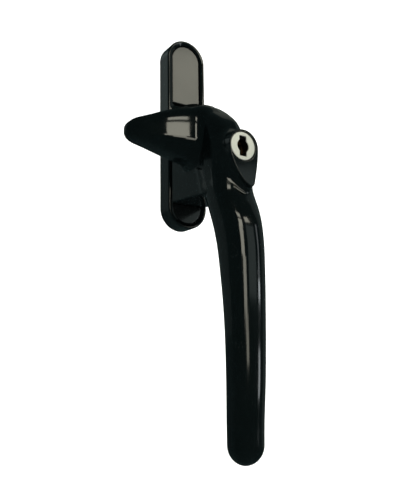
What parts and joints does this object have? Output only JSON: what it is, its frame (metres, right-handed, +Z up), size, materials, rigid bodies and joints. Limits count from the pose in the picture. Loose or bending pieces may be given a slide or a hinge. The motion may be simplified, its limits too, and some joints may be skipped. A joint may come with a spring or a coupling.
{
  "type": "locking cockspur window handle",
  "caption": "Locking cockspur window handle: a curved lever with a wedge nose and a keyed lock in a raised boss, turning on a slim round-ended back plate with two recessed screw covers.",
  "frame": {"origin": "centre of the back plate's rear face, which lies on the window frame", "axes": "+Y points out of the plate's rear face into the window, -Y into the room, +Z up along the plate, +X to the right seen from the room; the handle is closed, with its lever hanging down"},
  "size_m": [0.0504, 0.0527, 0.1901],
  "materials": {
    "black_enamel": "gloss black stoved enamel on a zinc casting",
    "black_plastic": "satin to gloss black moulding",
    "nylon": "natural nylon, matt",
    "spring_steel": "drawn spring steel",
    "steel": "zinc-plated steel",
    "cast_zinc": "bare zinc die casting, softly grained",
    "brass": "stamped brass"
  },
  "bodies": {
    "plate": {"back_plate": "black_enamel", "upper_screw_cover": "black_plastic", "lower_screw_cover": "black_plastic", "spindle_bush": "nylon", "thrust_washer": "nylon", "wave_washer": "spring_steel"},
    "handle": {"handle_body": "black_enamel", "pivot_spindle": "steel", "spindle_pin": "spring_steel", "lock_barrel": "cast_zinc", "barrel_pin": "steel", "detent_spring": "spring_steel", "bolt_spring": "spring_steel", "bolt_guide": "nylon"},
    "detent": {"detent_ball": "steel"},
    "plug": {"lock_plug": "cast_zinc", "lock_cam": "cast_zinc", "cam_clip": "spring_steel", "wafer_1": "brass", "wafer_2": "brass", "wafer_3": "brass", "wafer_4": "brass", "wafer_spring_1": "spring_steel", "wafer_spring_2": "spring_steel", "wafer_spring_3": "spring_steel", "wafer_spring_4": "spring_steel"},
    "bolt": {"locking_bolt": "steel"}
  },
  "joints": [
    {"name": "handle_turn", "type": "hinge", "parent": "plate", "child": "handle", "pos_m": [0, 0, -0.015], "axis": [0, -1, 0], "range_deg": [0, 90]},
    {"name": "detent_slide", "type": "slide", "parent": "handle", "child": "detent", "axis": [0, 1, 0], "range_m": [0, 0.00035], "stiffness_N_per_m": 200, "springref_m": 0.002, "deforming": ["detent_spring"]},
    {"name": "lock_turn", "type": "hinge", "parent": "handle", "child": "plug", "pos_m": [0, -0.05, -0.02], "axis": [0, -1, 0], "range_deg": [0, 90]},
    {"name": "bolt_slide", "type": "slide", "parent": "handle", "child": "bolt", "axis": [0, 1, 0], "range_m": [0, 0.0036], "deforming": ["bolt_spring"]}
  ],
  "couplings": [
    {"joint": "lock_turn", "follows": "bolt_slide", "rad_per_m": 436.33}
  ]
}
